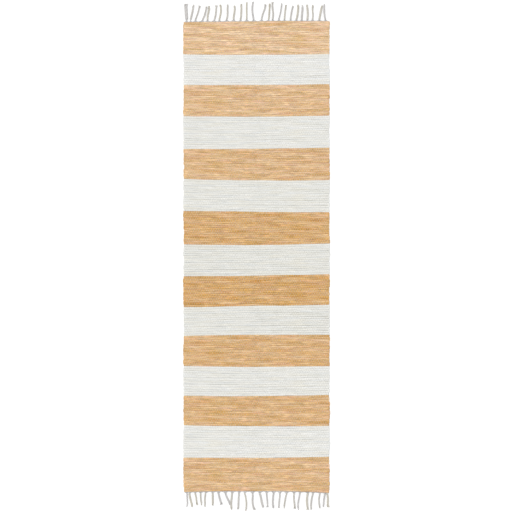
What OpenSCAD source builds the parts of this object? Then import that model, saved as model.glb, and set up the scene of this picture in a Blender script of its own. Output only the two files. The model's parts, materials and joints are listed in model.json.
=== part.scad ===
// Flat-woven striped runner rug: cotton weft in 15 bands on a cotton warp, with a tied fringe at each end.
// X runs across the rug, Y along it towards its far end, Z up. The origin is on the floor at its centre.

/* [Woven body] */
// Width from one selvedge to the other
rug_w = 756; // [600:2:960]
// Thickness of the weave
rug_t = 6; // [5:0.5:10]
// Usual length of a tan band, measured along the rug
tan_band_l = 169; // [120:1:260]
// Usual length of an off-white band, measured along the rug
white_band_l = 157; // [120:1:260]
// Length of the twined heading that locks the last pick at each end
heading_l = 5; // [3:0.5:10]

/* [Warp] */
// Diameter of a bundle of warp ends
warp_d = 3; // [2:0.1:3.6]
// Diameter of the stouter cord inside each selvedge
selvedge_d = 3.6; // [2.4:0.1:4]
// Distance from the rug's edge to the middle of the selvedge cord
selvedge_inset = 4; // [3.5:0.5:7]

/* [Fringe] */
// Number of tassels at each end, one for each warp bundle
tassels = 24; // [8:1:24]
// Reach of the longest tassel beyond the woven body
tassel_l = 102; // [75:1:200]
// Diameter of a twisted tassel
tassel_d = 7; // [4:0.5:7.5]
// Diameter of the knot that ties each tassel at its root
knot_d = 8; // [5:0.5:8.5]
// Length of the knot along the tassel
knot_l = 8; // [5:0.5:14]

/* [Clearances] */
// Gap between one band and the next
band_gap = 0.2; // [0.1:0.1:0.5]
// Gap between the two bands that meet at a fold
fold_gap = 0.4; // [0.2:0.1:1]
// Gap around each cord in its channel through the weft
cord_gap = 0.1; // [0.05:0.05:0.3]
// Gap between the heading and the knots
knot_gap = 1.5; // [1.2:0.1:4]
// Gap between layers when the fringe or an end of the rug is folded over
layer_gap = 0.3; // [0.2:0.1:1]

/* [Hidden] */
$fn = 32;

// Band 0 is at the far end; even bands are tan and odd bands are off-white.
// How much longer or shorter than usual the weaver made each band
BAND_EXTRA = [6, 0, -4, 9, -4, 5, 8, -1, -7, -10, -1, -10, -8, 5, 12];
bands = len(BAND_EXTRA);

function is_tan(i) = i % 2 == 0;
function band_l(i) = (is_tan(i) ? tan_band_l : white_band_l) + BAND_EXTRA[i];
function length_before(i) = i == 0 ? 0 : length_before(i - 1) + band_l(i - 1);
rug_l = length_before(bands);
function edge_y(i) = rug_l / 2 - length_before(i);

// The rug folds in three like a letter: the far fold comes before band 3 and the near fold before band 12.
FAR_FOLD = 3;
NEAR_FOLD = 12;
function is_fold(i) = i == FAR_FOLD || i == NEAR_FOLD;
function half_gap(i) = is_fold(i) ? fold_gap / 2 : (i == 0 || i == bands) ? 0 : band_gap / 2;

// Hinge heights, so that a flipped fringe lies on the rug and a folded end lies on its own flipped fringe
heading_y = rug_l / 2 + heading_l;
fringe_axis_z = (rug_t + knot_d + layer_gap) / 2;
fold_axis_z = (rug_t + 2 * fringe_axis_z + layer_gap) / 2;

// Warp bundles are evenly spaced, and each tassel has wandered from its own bundle.
pitch = rug_w / tassels;
function bundle_x(i) = (i - (tassels - 1) / 2) * pitch;
selvedge_x = rug_w / 2 - selvedge_inset;

// Each tassel's root wanders along the heading by this share of the pitch, left to right
FAR_WANDER = [-0.05, -0.4, -0.6, -0.4, -0.6, -0.45, -0.65, -0.45, -0.3, -0.15, -0.15, 0,
              0.3, 0.5, 0.15, 0.15, 0.1, 0.1, 0.1, -0.05, -0.1, -0.25, -0.15, -0.15];
NEAR_WANDER = [0, -0.6, -0.65, -0.75, -0.95, -0.75, -0.8, -0.65, -0.55, -0.4, -0.45, -0.15,
               0, 0.15, 0.3, 0.35, 0.45, 0.7, 0.65, 0.95, 0.8, 0.95, 0.8, 0.15];
// Each tassel's tip leans to the side by this share of the pitch
FAR_LEAN = [-0.15, 0.55, 0.75, 0.65, 0.3, 0.3, 0.15, 0.25, 0.15, 0.15, 0.05, -0.05,
            0.7, 0.2, 0, 0.5, 0.25, 0.5, 0.3, 0.15, -0.1, 0.1, 0.5, -0.15];
NEAR_LEAN = [0, 0.5, 0.4, 0.15, -0.05, 0, 0.55, 0.75, -0.05, -0.15, 0.15, 0.4,
             0.65, 0.15, 0, -0.15, -0.4, 0.15, -0.25, 0, -0.25, 0, -0.3, 0.2];
// Each tassel is this much shorter than the longest one
FAR_TRIM = [10, 12, 20, 24, 20, 16, 14, 14, 20, 10, 2, 0, 12, 8, 0, 6, 16, 20, 14, 16, 14, 16, 20, 12];
NEAR_TRIM = [20, 20, 30, 30, 22, 28, 32, 32, 6, 8, 0, 4, 18, 18, 14, 14, 14, 10, 4, 4, 6, 14, 20, 18];

// The far end is side 1 and the near end is side -1.
function root_x(side, i) = bundle_x(i) + pitch * (side > 0 ? FAR_WANDER : NEAR_WANDER)[i];
function lean(side, i) = pitch * (side > 0 ? FAR_LEAN : NEAR_LEAN)[i];
function reach(side, i) =
    tassel_l - (side > 0 ? FAR_TRIM : NEAR_TRIM)[i] - heading_l - knot_gap - tassel_d / 2;
function axis_l(side, i) = norm([lean(side, i), reach(side, i)]);
function turn(side, i) = atan2(lean(side, i), reach(side, i));

function band_name(i) = str(is_tan(i) ? "tan" : "white", "_band_", floor(i / 2) + 1);
PANELS = ["far", "middle", "near"];
PANEL_FROM = [0, FAR_FOLD, NEAR_FOLD];
PANEL_TO = [FAR_FOLD, NEAR_FOLD, bands];
SIDE_NAMES = ["left", "right"];
ENDS = ["far", "near"];

// Cross-section of the woven body, with rounded selvedges and a channel for each cord
module weave_section() {
    difference() {
        union() {
            translate([-(rug_w - rug_t) / 2, 0]) square([rug_w - rug_t, rug_t]);
            for (s = [-1, 1]) translate([s * (rug_w - rug_t) / 2, rug_t / 2]) circle(d = rug_t);
        }
        for (i = [0 : tassels - 1]) channel(bundle_x(i), warp_d);
        for (s = [-1, 1]) channel(s * selvedge_x, selvedge_d);
    }
}

module channel(x, cord_d) {
    translate([x, rug_t / 2]) square(cord_d + 2 * cord_gap, center = true);
}

module woven(y_near, y_far) {
    translate([0, y_far, 0]) rotate([90, 0, 0]) linear_extrude(y_far - y_near) weave_section();
}

module straight_cord(x, y_near, y_far, d) {
    translate([x, y_far, rug_t / 2]) rotate([90, 0, 0]) cylinder(h = y_far - y_near, d = d);
}

// One band: a single weft yarn beaten down over the whole warp
module band(i) {
    color(is_tan(i) ? "burlywood" : "ivory")
        woven(edge_y(i + 1) + half_gap(i + 1), edge_y(i) - half_gap(i));
}

// The cords of a panel run through its bands, and through the heading at an end of the rug.
function panel_near_y(p) = PANEL_TO[p] == bands ? -heading_y : edge_y(PANEL_TO[p]) + fold_gap / 2;
function panel_far_y(p) = PANEL_FROM[p] == 0 ? heading_y : edge_y(PANEL_FROM[p]) - fold_gap / 2;

module warp_bundles(p) {
    color("linen")
        for (i = [0 : tassels - 1]) straight_cord(bundle_x(i), panel_near_y(p), panel_far_y(p), warp_d);
}

module selvedge_cord(p, s) {
    color("wheat") straight_cord(s * selvedge_x, panel_near_y(p), panel_far_y(p), selvedge_d);
}

module heading(side) {
    inner = rug_l / 2 + band_gap;
    color("gainsboro")
        if (side > 0) woven(inner, heading_y);
        else woven(-heading_y, -inner);
}

// Moves to a tassel's root and turns +Z along the tassel, towards its tip
module along_tassel(side, i) {
    translate([root_x(side, i), side * (heading_y + knot_gap), knot_d / 2])
        rotate([0, 0, side > 0 ? -turn(side, i) : 180 + turn(side, i)])
            rotate([-90, 0, 0]) children();
}

module knot() {
    neck_d = 0.65 * knot_d;
    taper_l = knot_l / 4;
    cylinder(h = taper_l, d1 = neck_d, d2 = knot_d);
    translate([0, 0, taper_l]) cylinder(h = knot_l - 2 * taper_l, d = knot_d);
    translate([0, 0, knot_l - taper_l]) cylinder(h = taper_l, d1 = knot_d, d2 = neck_d);
}

module knots(side) {
    color("silver")
        for (i = [0 : tassels - 1]) along_tassel(side, i) knot();
}

module tassel_row(side) {
    color("lightgray")
        for (i = [0 : tassels - 1]) along_tassel(side, i) {
            translate([0, 0, knot_l]) cylinder(h = axis_l(side, i) - knot_l, d = tassel_d);
            translate([0, 0, axis_l(side, i)]) sphere(d = tassel_d);
        }
}

for (i = [0 : bands - 1])
    band(i);

for (p = [0 : len(PANELS) - 1]) {
    warp_bundles(p);
    for (s = [0, 1])
        selvedge_cord(p, 2 * s - 1);
}

for (e = [0, 1]) {
    side = 1 - 2 * e;
    heading(side);
    knots(side);
    tassel_row(side);
}
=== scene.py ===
import json
import math
from math import pi, tau

import bpy
import numpy as np
from bpy.props import FloatProperty, FloatVectorProperty, IntProperty, PointerProperty
from bpy.types import NodeSocket, Operator, Panel, PropertyGroup, Scene
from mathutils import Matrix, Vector


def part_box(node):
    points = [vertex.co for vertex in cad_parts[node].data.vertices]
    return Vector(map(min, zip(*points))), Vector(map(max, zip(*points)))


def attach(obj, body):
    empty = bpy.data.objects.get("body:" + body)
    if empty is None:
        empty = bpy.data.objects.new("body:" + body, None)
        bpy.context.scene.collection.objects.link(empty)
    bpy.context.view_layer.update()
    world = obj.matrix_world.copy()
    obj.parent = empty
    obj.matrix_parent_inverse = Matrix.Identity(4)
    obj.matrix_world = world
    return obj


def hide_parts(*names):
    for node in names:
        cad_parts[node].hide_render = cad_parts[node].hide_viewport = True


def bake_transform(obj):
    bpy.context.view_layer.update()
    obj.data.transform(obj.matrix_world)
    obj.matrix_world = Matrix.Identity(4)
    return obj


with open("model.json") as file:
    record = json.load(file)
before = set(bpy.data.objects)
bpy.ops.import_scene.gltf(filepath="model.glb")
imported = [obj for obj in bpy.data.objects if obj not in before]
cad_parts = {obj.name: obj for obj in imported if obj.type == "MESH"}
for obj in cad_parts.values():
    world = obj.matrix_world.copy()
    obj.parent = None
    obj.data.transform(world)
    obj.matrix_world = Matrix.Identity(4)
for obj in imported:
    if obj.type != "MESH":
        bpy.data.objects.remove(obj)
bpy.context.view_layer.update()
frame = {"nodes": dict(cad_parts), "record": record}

bl_info = {
    "name": "Striped Runner Rug",
    "version": (1, 0, 0),
    "blender": (4, 5, 0),
    "location": "View3D > Sidebar > Runner Rug",
    "description": "Weaves a striped flatweave runner with a tied fringe at each end, yarn by yarn",
    "category": "Add Mesh",
}

MM = 0.001

# The rug's bands, from the far end to the near end, and the panel that each belongs to
BODIES = frame["record"]["behaviour"]["bodies"]
BOXES = {node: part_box(node) for node in frame["nodes"]}
BANDS = sorted((n for n in BOXES if "_band_" in n), key=lambda n: -BOXES[n][0][1])
JOINTS = {j["name"]: j for j in frame["record"]["behaviour"]["joints"]}
HALF_WIDTH, HALF_LENGTH, THICKNESS = BOXES[BANDS[0]][1]
MIDDLE_Z = THICKNESS / 2
SELVEDGE_X = sum(corner[0] for corner in BOXES["middle_right_selvedge_cord"]) / 2

# How deep the dye took in each band of a colour, from the palest (0) to the deepest (1), far end first; the
# off-white bands' depths are partly painted shade
TAN_DYE = (0.0, 0.3, 0.45, 0.9, 1.0, 0.7, 0.65, 0.45)
# Partly painted shade: the off-white bands are made deeper towards the rug's middle to offset a brighter light
# on the middle
WHITE_DYE_AND_SHADE = (0.0, 0.5, 0.8, 1.0, 0.9, 0.5, 0.3)

# Which end of the rug is which: its name, and the direction away from the rug's middle
ENDS = (("far", 1), ("near", -1))


# ---- settings


def length(name, description, default, low, high):
    """A length setting, in metres"""
    return FloatProperty(
        name=name, description=description, default=default, min=low, max=high,
        subtype="DISTANCE", unit="LENGTH")


def colour(name, description, default):
    """A colour setting, in linear light"""
    return FloatVectorProperty(
        name=name, description=description, default=default, size=3, min=0, max=1, subtype="COLOR")


class WeaveSettings(PropertyGroup):
    """Yarns and spacing of the woven body"""

    pick_pitch: length(
        "Pick pitch", "Distance from one row of weft to the next", 11.3 * MM, 8 * MM, 16 * MM)
    warp_ends: IntProperty(
        name="Warp ends", description="Warp threads across the rug, selvedge cords included",
        default=120, min=40, max=160)
    warp_diameter: length("Warp diameter", "Thickness of one warp thread", 1.3 * MM, 1 * MM, 2.5 * MM)
    weft_fullness: length(
        "Weft fullness", "Thickness of the weft where it puffs up between warp threads",
        5.0 * MM, 3 * MM, 5.6 * MM)
    warp_pinch: length(
        "Warp pinch", "How much a warp thread flattens the weft that it crosses", 0.7 * MM, 0, 2 * MM)
    weft_dip: length(
        "Weft dip", "How far the weft bends away from the warp threads that cross it", 0.3 * MM, 0, 1 * MM)
    crease_depth: FloatProperty(
        name="Crease depth", description="Depth of the creases along the weft, as a share of its size",
        default=0.16, min=0, max=0.25)
    edge_wander: length("Edge wander", "How far a selvedge drifts in and out", 2.6 * MM, 0, 5 * MM)
    dye_wander: FloatProperty(
        name="Dye wander", description="How unevenly a band's rows took the dye",
        default=0.45, min=0, max=1)
    row_overlap: FloatProperty(
        name="Row overlap", description="Width of a row as a share of its room; over 1 presses rows together",
        default=1.09, min=0.8, max=1.2)
    turn_proud: length(
        "Turn proudness", "How far a usual weft turn stands past the rug's width", 2.2 * MM, 0, 6 * MM)
    turn_wander: length(
        "Turn wander", "How unevenly the weft turns stand out of a selvedge", 1.4 * MM, 0, 4 * MM)
    row_unevenness: length(
        "Row unevenness", "How far the line between two rows strays from straight", 0.8 * MM, 0, 2 * MM)
    row_wander: length("Row wander", "How far the rows ripple along the rug", 0.9 * MM, 0, 3 * MM)


class FringeSettings(PropertyGroup):
    """Headings, knots and tassels"""

    heading_diameter: length(
        "Heading cord", "Thickness of each of the two twined heading cords", 2.2 * MM, 1 * MM, 3 * MM)
    tassel_diameter: length(
        "Tassel diameter", "Usual thickness of a twisted tassel", 9.4 * MM, 4 * MM, 11 * MM)
    twist_length: length(
        "Twist length", "Length of one full twist of a tassel's strands", 42 * MM, 20 * MM, 120 * MM)
    fray_length: length(
        "Fray length", "Length of a tassel's tip where its strands come apart", 26 * MM, 5 * MM, 40 * MM)


class ColourSettings(PropertyGroup):
    """Dyes and undyed cottons"""

    tan_pale: colour("Pale tan", "Tan weft where the dye took least", (0.704, 0.496, 0.292))
    tan_deep: colour("Deep tan", "Tan weft where the dye took most", (0.597, 0.363, 0.143))
    tan_pink: colour("Pinkish streak", "Tint of the tan yarn's pinkish streaks", (1.0, 0.91, 1.0))
    tan_gold: colour("Golden streak", "Tint of the tan yarn's golden streaks", (0.86, 0.80, 0.56))
    white_pale: colour("Pale off-white", "Off-white weft at its palest", (0.727, 0.723, 0.695))
    white_deep: colour("Deep off-white", "Off-white weft at its deepest", (0.69, 0.685, 0.643))
    white_cool: colour("Cool streak", "Tint of the off-white yarn's cooler streaks", (0.95, 0.97, 1.0))
    white_warm: colour("Warm streak", "Tint of the off-white yarn's warmer streaks", (1.0, 0.98, 0.93))
    warp: colour("Warp cotton", "Undyed warp thread", (0.74, 0.71, 0.65))
    fringe_cool: colour("Cool fringe cotton", "Undyed cotton of the greyer tassels", (0.572, 0.556, 0.553))
    fringe_warm: colour("Warm fringe cotton", "Undyed cotton of the warmer tassels", (0.597, 0.56, 0.475))


class StageSettings(PropertyGroup):
    """Camera, floor and light"""

    camera_height: length("Camera height", "Height of the camera over the floor", 14.0, 5, 40)
    view_width: length("View width", "Width of floor that the camera sees", 2.6646, 1, 6)
    dome_strength: FloatProperty(
        name="Dome light", description="Brightness of the even light from all round",
        default=0.8, min=0, max=3)
    key_strength: FloatProperty(
        name="Key light", description="Strength of the soft light from the far left",
        default=1.6, min=0, max=6)
    key_softness: FloatProperty(
        name="Key softness", description="Apparent size of the key light",
        default=math.radians(60), min=math.radians(1), max=math.radians(90), subtype="ANGLE", unit="ROTATION")


# ---- strands


# Yarns are laid this far over the floor, and no skin comes nearer to it than half as far
FLOOR_GAP = 0.1 * MM
# Share of a texture row that is left empty on each side of a yarn
ROW_MARGIN = 0.04


def unit(vectors):
    """The same directions at a length of 1."""
    return vectors / np.maximum(np.linalg.norm(vectors, axis=-1, keepdims=True), 1e-12)


def distance_along(points):
    """How far along its line each point lies."""
    return np.concatenate([[0], np.cumsum(np.linalg.norm(np.diff(points, axis=0), axis=1))])


def rounded(wave, power):
    """A sine or cosine with its crests made flatter or sharper."""
    return np.sign(wave) * np.abs(wave) ** power


class Strand:
    """One yarn: its centreline, and at each point its half width and half thickness.

    The side is the way across it, where that isn't level and square to it. A power under 1 makes its section
    squarer. Creases hold one share for each point and side. The tint is the yarn's own, and the dye is its
    depth of colour at each point."""

    def __init__(self, points, half_width, half_thickness=None, tint=0.5, side=None, power=1.0, creases=0.0,
                 dye=0.0):
        self.points = np.asarray(points, float)
        count = len(self.points)
        self.half_width = np.broadcast_to(np.asarray(half_width, float), (count,))
        thickness = half_width if half_thickness is None else half_thickness
        self.half_thickness = np.broadcast_to(np.asarray(thickness, float), (count,))
        self.tint, self.side, self.power, self.creases, self.dye = tint, side, power, creases, dye

    def frames(self):
        """Unit vectors across the yarn's width and through its thickness."""
        along = unit(np.gradient(self.points, axis=0))
        if self.side is None:
            across = unit(np.stack([-along[:, 1], along[:, 0], np.zeros(len(along))], axis=1))
        else:
            across = unit(np.broadcast_to(np.asarray(self.side, float), along.shape))
        return across, unit(np.cross(along, across))

    def rings(self, sides):
        """The yarn's skin: one ring of points for each point of the centreline."""
        across, through = self.frames()
        angle = np.arange(sides) * tau / sides
        size = 1.0 + np.broadcast_to(self.creases, (len(self.points), sides))
        wide = self.half_width[:, None] * rounded(np.cos(angle), self.power) * size
        thick = self.half_thickness[:, None] * rounded(np.sin(angle), self.power) * size
        skin = (self.points[:, None, :] + wide[:, :, None] * across[:, None, :]
                + thick[:, :, None] * through[:, None, :])
        # the floor presses every yarn flat where it lies on it
        skin[..., 2] = np.maximum(skin[..., 2], FLOOR_GAP / 2)
        return skin


def strand_faces(rings, sides, first):
    """Corner indices of one strand's quads, and the two end caps."""
    ring = np.arange(rings - 1)[:, None] * sides
    here = np.arange(sides)[None, :]
    after = (here + 1) % sides
    quads = np.stack([ring + here, ring + after, ring + sides + after, ring + sides + here], axis=2)
    start = first + np.arange(sides)[::-1]
    end = first + (rings - 1) * sides + np.arange(sides)
    return quads.reshape(-1, 4) + first, start, end


def strand_corners(strand, sides, row_length, first_row, rows):
    """Texture coordinates and yarn coordinates of each corner, quads first and then the caps.

    The yarn is cut into rows of the same length, stacked up the texture."""
    count = len(strand.points)
    distance = distance_along(strand.points)
    segment = np.arange(count - 1)
    row = first_row + segment // row_length
    across = (segment % row_length) / row_length
    side = np.arange(sides)
    u = np.stack([across, across, across + 1 / row_length, across + 1 / row_length], axis=1)
    v_edges = [ROW_MARGIN + (1 - 2 * ROW_MARGIN) * (side + k) / sides for k in (0, 1, 1, 0)]
    uv = np.empty((count - 1, sides, 4, 2))
    yarn = np.empty((count - 1, sides, 4, 3))
    uv[..., 0] = u[:, None, :]
    ends = np.stack([distance[:-1], distance[:-1], distance[1:], distance[1:]], axis=1)
    yarn[..., 0] = ends[:, None, :]
    for corner, edges in enumerate(v_edges):
        uv[:, :, corner, 1] = (row[:, None] + edges[None, :]) / rows
        yarn[:, :, corner, 1] = (side + (corner in (1, 2))) / sides
    yarn[..., 2] = strand.tint
    cap_uv = np.tile([[0.5 / row_length, (first_row + 0.5) / rows]], (2 * sides, 1))
    cap_yarn = np.tile([[0.0, 0.5, strand.tint]], (2 * sides, 1))
    cap_yarn[sides:, 0] = distance[-1]
    return (np.concatenate([uv.reshape(-1, 2), cap_uv]),
            np.concatenate([yarn.reshape(-1, 3), cap_yarn]))


def placed(name, data):
    """A new object in the scene."""
    thing = bpy.data.objects.new(name, data)
    bpy.context.collection.objects.link(thing)
    return thing


def lay_strands(name, strands, sides, row_length, material):
    """Makes one mesh object of closed tubes, one for each strand."""
    row_counts = [math.ceil((len(s.points) - 1) / row_length) for s in strands]
    rows, row = sum(row_counts), 0
    points, faces, starts, uvs, yarns = [], [], [], [], []
    first_point = first_loop = 0
    for strand, own_rows in zip(strands, row_counts):
        rings = strand.rings(sides)
        quads, start, end = strand_faces(len(rings), sides, first_point)
        uv, yarn = strand_corners(strand, sides, row_length, row, rows)
        points.append(rings.reshape(-1, 3))
        faces += [quads.ravel(), start, end]
        starts += [first_loop + 4 * np.arange(len(quads)),
                   first_loop + quads.size + sides * np.arange(2)]
        uvs.append(uv)
        yarns.append(yarn)
        first_point += rings.shape[0] * sides
        first_loop += quads.size + 2 * sides
        row += own_rows
    points, loops = np.concatenate(points), np.concatenate(faces)
    starts = np.concatenate(starts)
    mesh = bpy.data.meshes.new(name)
    mesh.vertices.add(len(points))
    mesh.vertices.foreach_set("co", points.astype(np.float32).ravel())
    mesh.loops.add(len(loops))
    mesh.loops.foreach_set("vertex_index", loops.astype(np.int32))
    mesh.polygons.add(len(starts))
    mesh.polygons.foreach_set("loop_start", starts.astype(np.int32))
    mesh.update(calc_edges=True)
    uv_map = mesh.uv_layers.new(name="OFBake")
    uv_map.uv.foreach_set("vector", np.concatenate(uvs).astype(np.float32).ravel())
    yarn_map = mesh.attributes.new("yarn", "FLOAT_VECTOR", "CORNER")
    yarn_map.data.foreach_set("vector", np.concatenate(yarns).astype(np.float32).ravel())
    dye_map = mesh.attributes.new("dye", "FLOAT", "POINT")
    dyes = [np.repeat(np.broadcast_to(np.float32(s.dye), (len(s.points),)), sides) for s in strands]
    dye_map.data.foreach_set("value", np.concatenate(dyes))
    mesh.shade_smooth()
    mesh.materials.append(material)
    return placed(name, mesh)


# ---- how the hand-woven cloth lies


def drift(place, waves, seed):
    """A smooth wander along a line or over the cloth, about 1 at its most."""
    random = np.random.default_rng(seed)
    total = 0.0
    for weight, (across, along) in waves:
        phase = random.uniform(0, tau)
        total = total + weight * np.sin(tau * (place[0] / across + place[1] / along) + phase)
    return total


# Where each random wander starts
LEFT_SEED, RIGHT_SEED, ROW_SEED, DYE_SEED = 11, 12, 13, 14
BAND_SEED, GATHER_SEED, KNOT_SEED, TASSEL_SEED, SIZE_SEED = 101, 301, 401, 501, 900
# Each wander adds up waves: a weight, and the wave's lengths across and along the rug, in metres
ROW_WAVES = ((0.5, (0.46, -0.62)), (0.3, (0.21, 0.31)), (0.2, (0.09, -0.2)))
DYE_WAVES = ((0.5, (0.5, 0.05)), (0.3, (0.23, -0.034)), (0.2, (0.12, 0.09)))
EDGE_WAVES = ((0.4, (9.0, 0.43)), (0.35, (9.0, 0.17)), (0.25, (9.0, 0.07)))
# How far each band's edge has crept towards the near end at the left, in the middle and at the right,
# in millimetres, from the far end's edge to the near end's
EDGE_CREEP = ((8, 3, 2), (-1, 2, -3), (2, 2, -2), (-1, 1, -4), (5, 3, -3), (-6, 2, 0), (-1, 4, 7),
              (-4, -1, -9), (7, 3, -4), (5, -2, -8), (8, 2, 3), (-4, 0, -4), (5, 6, 0), (-4, 1, -1),
              (2, 4, -1), (1, -5, 4))


def creep(share, y):
    """How far the rows at y have crept along the rug, at a share (-1 to 1) of its width."""
    edges = [BOXES[BANDS[-1]][0][1]] + [BOXES[node][1][1] for node in reversed(BANDS)]
    left, middle, right = (np.interp(y, edges, [row[k] * MM for row in reversed(EDGE_CREEP)])
                           for k in range(3))
    bow = (left + right) / 2 - middle
    return -(middle + (right - left) / 2 * share + bow * share ** 2)


def cloth_place(x, y, weave):
    """Where the cloth that belongs at x and y really lies, as the rows and edges have drifted."""
    left, right = (drift((x * 0, y), EDGE_WAVES, seed) for seed in (LEFT_SEED, RIGHT_SEED))
    share = x / HALF_WIDTH
    return (x + weave.edge_wander * (left * (1 - share) + right * (1 + share)) / 2,
            y + creep(share, y) + weave.row_wander * drift((x, y), ROW_WAVES, ROW_SEED))


# The selvedge cords lie this far inside the places of their solids, so that the weft turns clear the edge
TURN_ROOM = 1.0 * MM
# How unevenly the warp ends are spaced: shares of the half width, and waves across it
WARP_WAVES = ((0.0035, 41, 0), (0.0025, 97, 1))


def warp_x(end, weave):
    """Where a warp end lies across the rug; the first and last are the selvedge cords."""
    even = 2 * end / (weave.warp_ends - 1) - 1
    uneven = sum(size * np.sin(rate * even + phase) for size, rate, phase in WARP_WAVES)
    return (SELVEDGE_X - TURN_ROOM) * (even + uneven * (1 - even ** 2))


# ---- folds


# A band touches a fold that lies at most this far from it
FOLD_REACH = 2 * MM


def bend_over_fold(piece):
    """Bakes the placement of a piece next to a fold into its mesh, where it stays."""
    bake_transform(piece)


def body_of(node):
    """The body that a CAD node rides on."""
    return next(body for body, nodes in BODIES.items() if node in nodes)


def ride_or_bend(piece, node):
    """Bakes a piece of a band in place if a fold lies beside it, or makes it ride on its panel if there is
    none.
    """
    low, high = BOXES[node]
    for fold in ("far_fold", "near_fold"):
        if low[1] - FOLD_REACH < JOINTS[fold]["pos_m"][1] < high[1] + FOLD_REACH:
            bend_over_fold(piece)
            return
    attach(piece, body_of(node))


# ---- materials


class YarnNodes:
    """The nodes that every yarn material shares, with its places along, round and between yarns."""

    def __init__(self, material):
        self.tree = material.node_tree
        yarn = self.add("ShaderNodeAttribute", attribute_name="yarn")
        parts = self.add("ShaderNodeSeparateXYZ", {0: yarn.outputs["Vector"]})
        self.along, self.around, self.tint = parts.outputs
        self.dye = self.add("ShaderNodeAttribute", attribute_name="dye").outputs["Fac"]

    def add(self, kind, inputs=None, **settings):
        """Adds a node with its settings, and links or sets its inputs by name or number."""
        node = self.tree.nodes.new(kind)
        for name, value in settings.items():
            setattr(node, name, value)
        for key, value in (inputs or {}).items():
            if isinstance(value, NodeSocket):
                self.tree.links.new(value, node.inputs[key])
            else:
                node.inputs[key].default_value = value
        return node

    def calculated(self, operation, *values):
        return self.add("ShaderNodeMath", dict(enumerate(values)), operation=operation).outputs[0]

    def plus(self, a, b):
        return self.calculated("ADD", a, b)

    def times(self, a, b):
        return self.calculated("MULTIPLY", a, b)

    def ramped(self, value, low, high, to_low=0.0, to_high=1.0):
        """Maps a value smoothly from one range to another."""
        return self.add(
            "ShaderNodeMapRange",
            {"Value": value, "From Min": low, "From Max": high, "To Min": to_low, "To Max": to_high},
            interpolation_type="SMOOTHSTEP").outputs[0]

    def blended(self, factor, a, b, mode="MIX"):
        """Mixes two colours, each a socket or three numbers."""
        a, b = (c if isinstance(c, NodeSocket) else (*c, 1) for c in (a, b))
        return self.add("ShaderNodeMix", {0: factor, 6: a, 7: b},
                        data_type="RGBA", blend_type=mode, clamp_factor=False).outputs[2]

    def darkened(self, base, value):
        """A colour made darker or lighter by a value near 1."""
        grey = self.add("ShaderNodeCombineColor", {0: value, 1: value, 2: value}).outputs[0]
        return self.blended(1.0, base, grey, "MULTIPLY")

    def noise(self, x, y, z, detail):
        """Smooth noise at a place, which changes about once for each unit."""
        place = self.add("ShaderNodeCombineXYZ", {0: x, 1: y, 2: z}).outputs[0]
        inputs = {"Vector": place, "Scale": 1.0, "Detail": detail}
        return self.add("ShaderNodeTexNoise", inputs).outputs["Fac"]

    def streaks(self, per_metre, lane, detail=2.0, round_it=0.0):
        """Noise that changes along a yarn and, if asked, round it, and is different on each yarn."""
        between = self.plus(self.times(self.tint, 40.0), self.times(self.around, round_it))
        return self.noise(self.times(self.along, per_metre), between, lane, detail)

    def plies(self, twist_length, count):
        """1 on the crown of a ply and -1 in the groove between two, winding round the yarn."""
        turns = self.plus(self.times(self.along, 1 / twist_length), self.times(self.around, float(count)))
        return self.calculated("SINE", self.times(turns, tau))

    def fibres(self, per_metre=650.0):
        """Fine lint that runs along the yarn."""
        return self.noise(self.times(self.along, per_metre),
                          self.times(self.around, 26.0), self.times(self.tint, 9.0), 3.0)

    def shade(self, base, height, sheen, depth):
        """Finishes the material: a matt cotton with a soft sheen."""
        bump = self.add("ShaderNodeBump", {"Height": height, "Distance": depth, "Strength": 0.7})
        surface = self.tree.nodes["Principled BSDF"].inputs
        rough = self.ramped(self.fibres(350.0), 0.3, 0.7, 0.82, 0.96)
        for name, socket in (("Base Color", base), ("Normal", bump.outputs[0]), ("Roughness", rough)):
            self.tree.links.new(socket, surface[name])
        surface["Sheen Weight"].default_value = sheen
        surface["Sheen Roughness"].default_value = 0.55
        surface["Specular IOR Level"].default_value = 0.25


def new_material(name):
    """An empty node material."""
    material = bpy.data.materials.new(name)
    material.use_nodes = True
    return material


def strip_yarn(name, pale, deep, tints, spread):
    """A gathered strip of cotton: creased along its length, and streaked as the dye took unevenly. Its colour
    is darkened in the hollows of its creases as painted shade.
    """
    material = new_material(name)
    yarn = YarnNodes(material)
    base = yarn.blended(yarn.dye, pale, deep)
    first = yarn.ramped(yarn.streaks(7.0, lane=3.0, round_it=4.0), 0.47, 0.62)
    base = yarn.blended(first, base, tints[0], "MULTIPLY")
    second = yarn.ramped(yarn.streaks(6.0, lane=17.0, round_it=5.0), 0.48, 0.66)
    base = yarn.blended(second, base, tints[1], "MULTIPLY")
    creases = yarn.streaks(16.0, lane=51.0, detail=3.0, round_it=12.0)
    flecks = yarn.streaks(38.0, lane=71.0, detail=3.0, round_it=12.0)
    light = yarn.streaks(10.0, lane=31.0, detail=3.0, round_it=8.0)
    value = yarn.times(yarn.ramped(light, 0.3, 0.7, 1 - spread, 1 + spread),
                       yarn.ramped(flecks, 0.35, 0.65, 1 - spread, 1 + spread))
    # Painted shade: the colour is darkened where the crease noise, which also sets the bump height, is low, in
    # the creases' hollows
    base = yarn.darkened(base, yarn.times(value, yarn.ramped(creases, 0.3, 0.5, 1 - spread, 1.0)))
    height = yarn.plus(yarn.times(creases, 2.0), yarn.times(yarn.fibres(), 0.35))
    yarn.shade(base, height, 0.22, 1.8 * MM)
    return material


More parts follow.
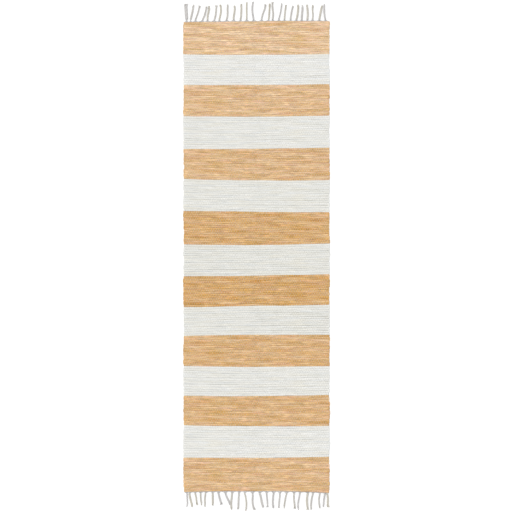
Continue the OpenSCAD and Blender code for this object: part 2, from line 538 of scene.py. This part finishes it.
def plain_yarn(name, colours, twist_length, plies, sheen, spread):
    """Undyed cotton with a slight change of tone along and between its yarns, and painted shade in the grooves
    between its plies.
    """
    material = new_material(name)
    yarn = YarnNodes(material)
    base = yarn.blended(yarn.dye, *colours)
    light = yarn.streaks(10.0, lane=5.0, detail=3.0, round_it=6.0)
    ply_relief_and_shade = yarn.plies(twist_length, plies)
    # Painted shade: the colour is darkened in the grooves between the plies, where the ply relief that also
    # sets the bump is lowest
    base = yarn.darkened(base, yarn.times(yarn.ramped(light, 0.3, 0.7, 1 - spread, 1 + 0.6 * spread),
                                          yarn.ramped(ply_relief_and_shade, -1.0, 0.2, 1 - spread, 1.0)))
    yarn.shade(base, yarn.plus(yarn.times(ply_relief_and_shade, 0.5), yarn.fibres()), sheen, 0.5 * MM)
    return material


# ---- weft bands


def band_picks(node, weave):
    """How many rows of weft fill a band."""
    low, high = BOXES[node]
    return round((high[1] - low[1]) / weave.pick_pitch)


def picks_before(node, weave):
    """Rows of weft woven before this band, so that over and under keep alternating."""
    return sum(band_picks(n, weave) for n in BANDS[:BANDS.index(node)])


# Points of a weft for each warp end that it crosses, in each turn, and round its section
STEPS_PER_END = 3
TURN_STEPS = 11
WEFT_SIDES = 12
# How square its section is (1 is an ellipse), and how much a warp end narrows it
WEFT_POWER = 0.72
ROW_WAIST = 0.04
# Each turn fans out round an eye of this radius, where the selvedge cord lies, and its outline is squared
TURN_EYE = 0.2 * MM
TURN_SQUARENESS = 4
# A turn stands out at least this far, and a share of half its length more
TURN_CLEAR = 1.2 * MM
TURN_SHARE = (0.88, 1.02)
# Ridges round a crumpled strip, and how often along it they change
CREASE_LOBES = (3, 4, 6)
CREASE_LENGTH = 80 * MM
# A band's weft starts and stops this far past its selvedge cord, in warp ends
TAIL_ENDS = 0.8


def crease_shares(distance, sides, depth, random):
    """Creases that run along a folded strip of cloth and slowly wind round it."""
    angle = np.arange(sides) * tau / sides
    total = np.zeros((len(distance), sides))
    for lobes in CREASE_LOBES:
        knots = np.arange(0, distance[-1] + CREASE_LENGTH, CREASE_LENGTH)
        phase = np.interp(distance, knots, np.cumsum(random.normal(0, 0.9, len(knots))))
        height = np.interp(distance, knots, random.uniform(0.2, 1.0, len(knots)))
        total += height[:, None] * np.cos(lobes * angle[None, :] + phase[:, None])
    return depth * total / len(CREASE_LOBES) ** 0.5


# How far the line between two rows strays, as a share of a row, and the lengths of its ripples
ROW_STRAY = 0.07
RIPPLES = (0.31, 0.13, 0.055)


class Rows:
    """The lines between a band's rows of weft, which are never quite straight or evenly spaced."""

    def __init__(self, node, weave):
        low, high = BOXES[node]
        self.count = band_picks(node, weave)
        self.first = picks_before(node, weave)
        self.random = np.random.default_rng(BAND_SEED + self.first)
        share = np.linspace(0, 1, self.count + 1)
        room = np.minimum(1, 8 * share * (1 - share))
        length_y = high[1] - low[1]
        strays = self.random.normal(0, ROW_STRAY, len(share)) * length_y / self.count
        self.y = high[1] - (share * length_y + room * strays)
        self.ripple = room * weave.row_unevenness
        self.phase = self.random.uniform(0, tau, (len(RIPPLES), self.count + 1))

    def line(self, number, x):
        """The y of one line at each x, or of many lines at one x."""
        ripple = sum(np.sin(tau * x / wave + phase)
                     for wave, phase in zip(RIPPLES, self.phase[:, number])) / len(RIPPLES)
        return self.y[number] + self.ripple[number] * ripple

    def middle(self, pick, x):
        """The y of a row's middle and half its width, at each x."""
        upper, lower = self.line(pick, x), self.line(pick + 1, x)
        return (upper + lower) / 2, (upper - lower) / 2

    def side(self, pick):
        """Where a row ends: 1 at the right selvedge and -1 at the left."""
        return 1 if (self.first + pick) % 2 == 0 else -1


def weft_row(rows, pick, weave, dye):
    """One row of weft: its points, the way across it, half widths, half thicknesses and dye."""
    side, ends = rows.side(pick), weave.warp_ends - 1
    along = np.linspace(0, ends, ends * STEPS_PER_END + 1)[::side]
    if pick == 0:
        along = np.concatenate([[along[0] - side * TAIL_ENDS], along])
    if pick == rows.count - 1:
        along = np.concatenate([along, [along[-1] + side * TAIL_ENDS]])
    crossing = np.cos(pi * along) ** 2
    over = np.cos(pi * (along + rows.first + pick))
    row_y, half = rows.middle(pick, warp_x(along, weave))
    x, y = cloth_place(warp_x(along, weave), row_y, weave)
    return (np.stack([x, y, MIDDLE_Z - weave.weft_dip * over], axis=1),
            side * np.stack([-np.gradient(y, x), np.ones(len(x)), np.zeros(len(x))], axis=1),
            half * (weave.row_overlap - ROW_WAIST * crossing),
            weave.weft_fullness / 2 - weave.warp_pinch / 2 * crossing,
            dye + weave.dye_wander * drift((x, y), DYE_WAVES, DYE_SEED))


def weft_turn(rows, pick, weave, lift, dye):
    """The turn after a row, round the selvedge cord and into the next one, in the same measures.

    It fans out from the cord, and starts at a height of lift over the middle of the cloth."""
    side = rows.side(pick)
    edge_x = side * (SELVEDGE_X - TURN_ROOM)
    (here, half_here), (below, half_below) = (rows.middle(k, edge_x) for k in (pick, pick + 1))
    end_x, end_y = cloth_place(np.full(2, edge_x), np.array([here, below]), weave)
    half_turn = (end_y[0] - end_y[1]) / 2
    least = TURN_CLEAR + rows.random.uniform(*TURN_SHARE) * half_turn
    usual = HALF_WIDTH - side * edge_x + weave.turn_proud + rows.random.uniform(-1, 1) * weave.turn_wander
    angle = np.arange(1, TURN_STEPS + 1) * pi / (TURN_STEPS + 1)
    half = np.interp(angle, (0, pi), (half_here, half_below))
    spread = half_turn + half * (weave.row_overlap - ROW_WAIST)
    outer = ((np.sin(angle) / max(least, usual)) ** TURN_SQUARENESS
             + (np.cos(angle) / spread) ** TURN_SQUARENESS) ** (-1 / TURN_SQUARENESS)
    ray = np.stack([side * np.sin(angle), np.cos(angle), 0 * angle], axis=1)
    points = np.array([end_x.mean(), end_y.mean(), MIDDLE_Z]) + ray * (outer + TURN_EYE)[:, None] / 2
    points[:, 2] += lift * np.cos(angle)
    return (points, side * ray, (outer - TURN_EYE) / 2,
            np.full(TURN_STEPS, (weave.weft_fullness - weave.warp_pinch) / 2), np.full(TURN_STEPS, dye))


def weft_strand(node, weave, dye):
    """The band's one weft, back and forth through the whole warp and round the selvedges."""
    rows = Rows(node, weave)
    stretches = []
    for pick in range(rows.count):
        row = weft_row(rows, pick, weave, dye)
        stretches.append(row)
        if pick < rows.count - 1:
            stretches.append(weft_turn(rows, pick, weave, row[0][-1, 2] - MIDDLE_Z, row[-1][-1]))
    points, sideways, widths, thicknesses, dyes = (np.concatenate(measure) for measure in zip(*stretches))
    creases = crease_shares(distance_along(points), WEFT_SIDES, weave.crease_depth, rows.random)
    return Strand(points, widths, thicknesses, side=sideways, power=WEFT_POWER, creases=creases, dye=dyes)


def weave_band(node, material, dye):
    weave = bpy.context.scene.rug_weave
    row_length = (weave.warp_ends - 1) * STEPS_PER_END + TURN_STEPS
    piece = lay_strands(node + "_weft", [weft_strand(node, weave, dye)], WEFT_SIDES, row_length, material)
    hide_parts(node)
    ride_or_bend(piece, node)
    return piece


# ---- warp and selvedges

STEPS_PER_PICK = 6
# How flat the crests of a warp thread's wave are
WARP_POWER = 0.75


def warp_thread(end, rows, weave):
    """One warp thread's length through a band, over one row of weft and under the next."""
    place = np.linspace(0, rows.count, rows.count * STEPS_PER_PICK + 1)
    own_x = warp_x(end, weave)
    y = np.interp(place, np.arange(rows.count + 1), rows.line(slice(None), own_x))
    x, y = cloth_place(np.full(len(y), own_x), y, weave)
    lift = MIDDLE_Z - weave.warp_diameter / 2 - FLOOR_GAP
    wave = rounded(np.cos(pi * (place - 0.5 + rows.first + end)), WARP_POWER)
    return Strand(np.stack([x, y, MIDDLE_Z + lift * wave], axis=1), weave.warp_diameter / 2,
                  tint=end * 0.37 % 1, side=(1, 0, 0))


def selvedge_stretches():
    """The selvedge cords in four lengths, each named for its panel and its fold, and from and to which y."""
    far_y, near_y = JOINTS["far_fold"]["pos_m"][1], JOINTS["near_fold"]["pos_m"][1]
    return (("far", far_y, HALF_LENGTH), ("middle_far", 0.0, far_y),
            ("middle_near", near_y, 0.0), ("near", -HALF_LENGTH, near_y))


def selvedge_strand(end, low_y, high_y, diameter, weave):
    """One straight selvedge cord, inside the turns of the weft."""
    count = max(2, round((high_y - low_y) / weave.pick_pitch))
    y = np.linspace(low_y, high_y, count)
    x, y = cloth_place(np.full(count, warp_x(end, weave)), y, weave)
    return Strand(np.stack([x, y, np.full(count, MIDDLE_Z)], axis=1), diameter / 2)


# ---- fringe


def islands(node):
    """The separate solids of a CAD node, as arrays of their points."""
    mesh = frame["nodes"][node].data
    corners = np.array([v.co for v in mesh.vertices])
    _, first, welded = np.unique(np.round(corners, 5), axis=0, return_index=True, return_inverse=True)
    points = corners[first]
    edges = welded.ravel()[np.array([e.vertices[:] for e in mesh.edges])]
    label = np.arange(len(points))
    while True:
        lowest = np.minimum(label[edges[:, 0]], label[edges[:, 1]])
        before = label.copy()
        np.minimum.at(label, edges[:, 0], lowest)
        np.minimum.at(label, edges[:, 1], lowest)
        label = label[label]
        if (label == before).all():
            break
    return [points[label == one] for one in np.unique(label)]


class Tassel:
    """Where one tassel's knot and strands lie, taken from its CAD solids."""

    def __init__(self, knot, strands):
        centre = knot.mean(0)
        middle = (strands.min(0) + strands.max(0)) / 2
        self.along = unit(np.array([middle[0] - centre[0], middle[1] - centre[1], 0.0]))
        self.across = np.array([-self.along[1], self.along[0], 0.0])
        reach = (knot - centre) @ self.along
        self.knot_length = reach.max() - reach.min()
        self.root = centre + reach.min() * self.along
        self.length = ((strands - self.root) @ self.along).max()


def inner_end(strands):
    """The middle of the few points of a tassel that lie nearest the woven body."""
    return strands[np.argsort(abs(strands[:, 1]))[:8]].mean(0)


def tassels_of(end):
    """The tassels of one end, from left to right. Each starts where its knot ends."""
    knots = sorted(islands(f"{end}_knots"), key=lambda solid: solid[:, 0].mean())
    strands = islands(f"{end}_tassels")
    if len(knots) != len(strands):
        raise RuntimeError(f"{end} end: {len(knots)} knots and {len(strands)} tassels")
    return [Tassel(knot, min(strands, key=lambda solid: np.linalg.norm(inner_end(solid) - knot.mean(0))))
            for knot in knots]


def ends_of(index, tassels, weave):
    """The warp ends that are gathered into a tassel: those whose nearest root is its own."""
    roots = np.array([t.root[0] for t in tassels])
    places = warp_x(np.arange(weave.warp_ends), weave)
    nearest = np.abs(places[:, None] - roots[None, :]).argmin(1)
    return np.flatnonzero(nearest == index)


def ring_radii(count, diameter):
    """Radius of a strand, and of the ring that its neighbours stand on, in a bundle of a given diameter."""
    spread = 1 / math.sin(pi / count)
    strand = diameter / 2 / (1 + spread)
    return strand, strand * spread


# The knots and tassels lie in a space this high
ROOM_HEIGHT = BOXES["far_knots"][1][2]
# The far end's first tassel took the slack of its corner as well: its size beside a usual one's, and
# how many strands it has
FULLEST = {("far", 0): (1.75, 9)}
# The other tassels' sizes, and how few and how many strands they have
TASSEL_SIZES = (0.78, 1.2)
STRAND_COUNTS = (3, 7)
# A tassel's bow and sway, as shares of its length, and the share of tassels whose tips part into two tufts
TASSEL_BOW, TASSEL_SWAY, FORKED = 0.03, 0.012, 0.35
# A loose strand strays about this far at the tip, and its points are about this far apart
STRAY, STRAND_STEP = 4.5 * MM, 3.2 * MM
# The cord that ties a tassel: its half thickness, and how many times it goes round
KNOT_CORD, KNOT_TURNS = 1.15 * MM, 2.6
# The warp ends leave the last row this far inside it, and reach this far into the knot, this wide and this high
GATHER_IN, GATHER_REACH, GATHER_WIDTH, GATHER_HEIGHT = 1.5 * MM, 1.5 * MM, 3.6 * MM, 0.9 * MM
# The middles of the heading cords lie this far outside the last row
HEADING_OUT = 1.4 * MM


def strand_count(index, tassels, end, weave):
    """How many strands a tassel is twisted from."""
    if (end, index) in FULLEST:
        return FULLEST[end, index][1]
    return int(np.clip(len(ends_of(index, tassels, weave)), *STRAND_COUNTS))


def tassel_size(index, end, fringe):
    """A tassel's own diameter and dye, the same for its knot and its strands."""
    random = np.random.default_rng(SIZE_SEED + index + (50 if end == "far" else 0))
    size, dye = random.uniform(*TASSEL_SIZES), random.uniform(0, 1)
    if (end, index) in FULLEST:
        size = FULLEST[end, index][0]
    return fringe.tassel_diameter * size, dye


def flattened(ring, strand):
    """How much a bundle of strands is pressed flat, so that it is no higher than its knot's room."""
    return min(1.0, (ROOM_HEIGHT / 2 - strand) / ring)


def tassel_strands(index, tassels, end, weave, fringe, random):
    """A tassel's twisted strands, from its root through the knot to a frayed tip."""
    tassel = tassels[index]
    diameter, dye = tassel_size(index, end, fringe)
    count = strand_count(index, tassels, end, weave)
    radius, ring = ring_radii(count, diameter)
    flat = flattened(ring, radius)
    bow = random.normal(0, TASSEL_BOW) * tassel.length
    sway = random.normal(0, TASSEL_SWAY) * tassel.length
    fray = random.uniform(0.15, 1.0) ** 2
    fork = random.uniform(0.7, 1.2) if random.uniform() < FORKED else 0.0
    start_angle = random.uniform(0, tau)
    strands = []
    for n in range(count):
        length = tassel.length - radius - random.uniform(0, 0.04) * tassel.length
        s = np.linspace(0, length, max(12, round(length / STRAND_STEP)))
        share = s / tassel.length
        angle = start_angle + n * tau / count + tau * s / fringe.twist_length
        loose = np.clip((s - (tassel.length - fringe.fray_length)) / fringe.fray_length, 0, 1) ** 1.6
        pinch = 1 - 0.3 * np.exp(-((s - tassel.knot_length / 2) / (0.6 * tassel.knot_length)) ** 2)
        off = ring * pinch * (1 + 0.25 * fray * loose)
        tuft = fork * (1 if n < count / 2 else -1)
        stray = fray * random.normal(0, 1) + tuft
        sideways = (off * np.cos(angle) + bow * np.sin(pi * share) + sway * np.sin(tau * share)
                    + loose * stray * STRAY)
        height = tassel.root[2] + flat * off * np.sin(angle) * (1 - 0.2 * loose)
        height = np.maximum(height - loose * 0.5 * MM, radius + FLOOR_GAP)
        points = tassel.root + s[:, None] * tassel.along + sideways[:, None] * tassel.across
        points[:, 2] = height
        thin = radius * (1 - 0.35 * loose) * np.where(s > length - 1.5 * MM, 0.6, 1.0)
        strands.append(Strand(points, thin, tint=random.uniform(), dye=dye))
    return strands


def knot_wrap(index, tassels, end, fringe, random):
    """The cord that ties a tassel: a few tight turns round its root."""
    tassel = tassels[index]
    diameter, dye = tassel_size(index, end, fringe)
    ring = diameter / 2 * 0.72 + 0.3 * KNOT_CORD
    share = np.linspace(0, 1, 34)
    angle = random.uniform(0, tau) + tau * KNOT_TURNS * share
    s = tassel.knot_length * (0.2 + 0.6 * share)
    points = (tassel.root + s[:, None] * tassel.along
              + (ring * np.cos(angle))[:, None] * tassel.across)
    points[:, 2] = tassel.root[2] + flattened(ring, KNOT_CORD) * ring * np.sin(angle)
    return Strand(points, KNOT_CORD, tint=random.uniform(), side=tassel.along, dye=dye)


def gather_strands(index, tassels, weave, side, random):
    """The warp ends between the last row and the knot, drawn together into one root."""
    tassel = tassels[index]
    ends = ends_of(index, tassels, weave)
    radius = weave.warp_diameter / 2
    strands = []
    for n, end in enumerate(ends):
        x0, y0 = cloth_place(warp_x(end, weave), side * (HALF_LENGTH - GATHER_IN), weave)
        start = np.array([x0, y0, MIDDLE_Z])
        slot = (n + 0.5) / len(ends) - 0.5
        goal = tassel.root + GATHER_REACH * tassel.along + slot * GATHER_WIDTH * tassel.across
        goal[2] = tassel.root[2] + (GATHER_HEIGHT if n % 2 else -GATHER_HEIGHT)
        s = np.linspace(0, 1, 14)[:, None]
        leave = start + np.array([0, side * 4.2 * MM, 0.4 * MM * random.normal()])
        arrive = goal - tassel.along * 4.0 * MM
        points = ((1 - s) ** 3 * start + 3 * (1 - s) ** 2 * s * leave
                  + 3 * (1 - s) * s ** 2 * arrive + s ** 3 * goal)
        points[:, 2] = np.maximum(points[:, 2], radius + FLOOR_GAP)
        strands.append(Strand(points, radius * 1.15, tint=random.uniform()))
    return strands


def heading_strands(side, weave, fringe):
    """Two cords twined across the end of the rug, crossing between every two warp ends."""
    radius = fringe.heading_diameter / 2
    step = 2 * SELVEDGE_X / (weave.warp_ends - 1)
    x = np.linspace(-SELVEDGE_X - 2 * MM, SELVEDGE_X + 2 * MM, weave.warp_ends * 4)
    strands = []
    for n in (0, 1):
        angle = pi * (x / step + n)
        place_x, place_y = cloth_place(x, np.full_like(x, side * (HALF_LENGTH + HEADING_OUT)), weave)
        points = np.stack([place_x, place_y + 0.5 * MM * np.cos(2 * angle),
                           MIDDLE_Z + (MIDDLE_Z - radius) * 0.75 * np.sin(angle)], axis=1)
        strands.append(Strand(points, radius, tint=0.3 + 0.4 * n))
    return strands


# ---- operators


def material_named(name):
    """A yarn material, made the first time that it is asked for."""
    found = bpy.data.materials.get(name)
    if found:
        return found
    colours = bpy.context.scene.rug_colours
    cottons = (colours.fringe_cool, colours.fringe_warm)
    recipes = {
        "tan_weft_yarn": lambda: strip_yarn(
            name, colours.tan_pale, colours.tan_deep, (colours.tan_pink, colours.tan_gold), 0.175),
        "white_weft_yarn": lambda: strip_yarn(
            name, colours.white_pale, colours.white_deep, (colours.white_cool, colours.white_warm), 0.046),
        "warp_thread": lambda: plain_yarn(name, (colours.warp, colours.warp), 5 * MM, 3, 0.1, 0.08),
        "fringe_strand": lambda: plain_yarn(name, cottons, 7 * MM, 2, 0.15, 0.16),
    }
    return recipes[name]()


# Half the floor's width, in metres
FLOOR_HALF = 12.0
# The way that the key light shines
KEY_WAY = (0.6, -0.4, -1.5)
# How far the middle of the view is from the rug's own
VIEW_SHIFT = (-2.5 * MM, 1.9 * MM)
# Width of the camera's sensor, in millimetres
SENSOR = 36


class RUG_OT_stage(Operator):
    """Lays the floor, and sets the camera and the studio light"""

    bl_idname = "rug.stage"
    bl_label = "Floor, Camera and Light"

    def execute(self, context):
        stage = context.scene.rug_stage
        mesh = bpy.data.meshes.new("floor")
        corners = [(x * FLOOR_HALF, y * FLOOR_HALF, 0) for x, y in ((-1, -1), (1, -1), (1, 1), (-1, 1))]
        mesh.from_pydata(corners, [], [(0, 1, 2, 3)])
        floor = placed("floor", mesh)
        pale = new_material("pale_floor")
        surface = pale.node_tree.nodes["Principled BSDF"].inputs
        surface["Base Color"].default_value = (0.93, 0.93, 0.93, 1)
        surface["Roughness"].default_value = 0.9
        surface["Specular IOR Level"].default_value = 0.1
        mesh.materials.append(pale)

        camera_data = bpy.data.cameras.new("camera")
        camera_data.sensor_width = SENSOR
        camera_data.lens = SENSOR * stage.camera_height / stage.view_width
        camera_data.clip_end = 100
        camera = placed("camera", camera_data)
        camera.location = (*VIEW_SHIFT, stage.camera_height)
        context.scene.camera = camera

        key_data = bpy.data.lights.new("key_light", "SUN")
        key_data.angle = stage.key_softness
        key_data.energy = stage.key_strength
        key = placed("key_light", key_data)
        key.rotation_mode = "QUATERNION"
        key.rotation_quaternion = Vector(KEY_WAY).to_track_quat("-Z", "Y")

        world = bpy.data.worlds.new("studio")
        world.use_nodes = True
        dome = world.node_tree.nodes["Background"].inputs
        dome["Color"].default_value = (1, 1, 1, 1)
        dome["Strength"].default_value = stage.dome_strength
        context.scene.world = world
        context.scene.view_settings.view_transform = "Standard"
        context.scene.view_settings.look = "None"
        return {"FINISHED"}


class RUG_OT_warp(Operator):
    """Threads the warp through each band, over one row of weft and under the next"""

    bl_idname = "rug.warp"
    bl_label = "Warp Threads"

    def execute(self, context):
        weave = context.scene.rug_weave
        for node in BANDS:
            panel = body_of(node)
            rows = Rows(node, weave)
            strands = [warp_thread(end, rows, weave) for end in range(1, weave.warp_ends - 1)]
            row_length = len(strands[0].points) - 1
            piece = lay_strands(node + "_warp", strands, 4, row_length, material_named("warp_thread"))
            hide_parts(panel.replace("_panel", "_warp_bundles"))
            ride_or_bend(piece, node)
        return {"FINISHED"}


class RUG_OT_selvedges(Operator):
    """Stretches the stouter cord inside each selvedge"""

    bl_idname = "rug.selvedges"
    bl_label = "Selvedge Cords"

    def execute(self, context):
        weave = context.scene.rug_weave
        for name, low_y, high_y in selvedge_stretches():
            panel, end_name = name.split("_")[0], name.split("_")[-1]
            for side, end in (("left", 0), ("right", weave.warp_ends - 1)):
                strand = selvedge_strand(end, low_y, high_y, 1.4 * weave.warp_diameter, weave)
                piece = lay_strands(f"{name}_{side}_selvedge", [strand], 8, 60, material_named("warp_thread"))
                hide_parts(f"{panel}_{side}_selvedge_cord")
                bend_over_fold(piece)
        return {"FINISHED"}


class RUG_OT_headings(Operator):
    """Twines the heading cords across both ends"""

    bl_idname = "rug.headings"
    bl_label = "Heading Cords"

    def execute(self, context):
        weave, fringe = context.scene.rug_weave, context.scene.rug_fringe
        for end, side in ENDS:
            strands = heading_strands(side, weave, fringe)
            piece = lay_strands(f"{end}_heading_cords", strands, 6, 120, material_named("fringe_strand"))
            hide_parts(f"{end}_heading")
            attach(piece, f"{end}_panel")
        return {"FINISHED"}


class RUG_OT_gathers(Operator):
    """Draws the warp ends together into the root of each tassel"""

    bl_idname = "rug.gathers"
    bl_label = "Gathered Warp Ends"

    def execute(self, context):
        weave = context.scene.rug_weave
        for end, side in ENDS:
            random = np.random.default_rng(GATHER_SEED + side)
            tassels = tassels_of(end)
            strands = [s for i in range(len(tassels))
                       for s in gather_strands(i, tassels, weave, side, random)]
            piece = lay_strands(f"{end}_gathers", strands, 6, 13, material_named("fringe_strand"))
            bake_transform(piece)
        return {"FINISHED"}


class RUG_OT_knots(Operator):
    """Ties a knot round the root of each tassel"""

    bl_idname = "rug.knots"
    bl_label = "Knots"

    def execute(self, context):
        fringe = context.scene.rug_fringe
        for end, side in ENDS:
            random = np.random.default_rng(KNOT_SEED + side)
            tassels = tassels_of(end)
            strands = [knot_wrap(i, tassels, end, fringe, random) for i in range(len(tassels))]
            piece = lay_strands(f"{end}_knot_wraps", strands, 8, 33, material_named("fringe_strand"))
            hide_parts(f"{end}_knots")
            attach(piece, f"{end}_fringe")
        return {"FINISHED"}


class RUG_OT_tassels(Operator):
    """Twists the strands of each tassel and frays its tip"""

    bl_idname = "rug.tassels"
    bl_label = "Tassels"

    def execute(self, context):
        weave, fringe = context.scene.rug_weave, context.scene.rug_fringe
        for end, side in ENDS:
            random = np.random.default_rng(TASSEL_SEED + side)
            tassels = tassels_of(end)
            strands = [s for i in range(len(tassels))
                       for s in tassel_strands(i, tassels, end, weave, fringe, random)]
            piece = lay_strands(f"{end}_tassel_strands", strands, 7, 32, material_named("fringe_strand"))
            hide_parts(f"{end}_tassels")
            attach(piece, f"{end}_fringe")
        return {"FINISHED"}


class RUG_OT_tan_bands(Operator):
    """Weaves the tan bands"""

    bl_idname = "rug.tan_bands"
    bl_label = "Tan Bands"

    def execute(self, context):
        for node, dye in zip(BANDS[0::2], TAN_DYE, strict=True):
            weave_band(node, material_named("tan_weft_yarn"), dye)
        return {"FINISHED"}


class RUG_OT_white_bands(Operator):
    """Weaves the off-white bands"""

    bl_idname = "rug.white_bands"
    bl_label = "Off-White Bands"

    def execute(self, context):
        for node, dye in zip(BANDS[1::2], WHITE_DYE_AND_SHADE, strict=True):
            weave_band(node, material_named("white_weft_yarn"), dye)
        return {"FINISHED"}


class RUG_PT_panel(Panel):
    """Sizes, colours and making of the rug"""

    bl_idname = "RUG_PT_panel"
    bl_label = "Runner Rug"
    bl_space_type = "VIEW_3D"
    bl_region_type = "UI"
    bl_category = "Runner Rug"

    def draw(self, context):
        layout = self.layout
        for group in GROUPS:
            box = layout.box()
            settings = getattr(context.scene, group)
            box.label(text=GROUPS[group].__doc__)
            for name in GROUPS[group].__annotations__:
                box.prop(settings, name)
        for operator in OPERATORS:
            layout.operator(operator.bl_idname)


GROUPS = {"rug_weave": WeaveSettings, "rug_fringe": FringeSettings,
          "rug_colours": ColourSettings, "rug_stage": StageSettings}
OPERATORS = (RUG_OT_stage, RUG_OT_warp, RUG_OT_selvedges, RUG_OT_headings, RUG_OT_gathers,
             RUG_OT_knots, RUG_OT_tassels, RUG_OT_tan_bands, RUG_OT_white_bands)


def register():
    for cls in (*GROUPS.values(), *OPERATORS, RUG_PT_panel):
        bpy.utils.register_class(cls)
    for name, cls in GROUPS.items():
        setattr(Scene, name, PointerProperty(type=cls))


def unregister():
    for name in GROUPS:
        delattr(Scene, name)
    for cls in reversed((*GROUPS.values(), *OPERATORS, RUG_PT_panel)):
        bpy.utils.unregister_class(cls)


def main():
    register()
    for operator in OPERATORS:
        category, name = operator.bl_idname.split(".")
        getattr(getattr(bpy.ops, category), name)()


if __name__ == "__main__":
    main()
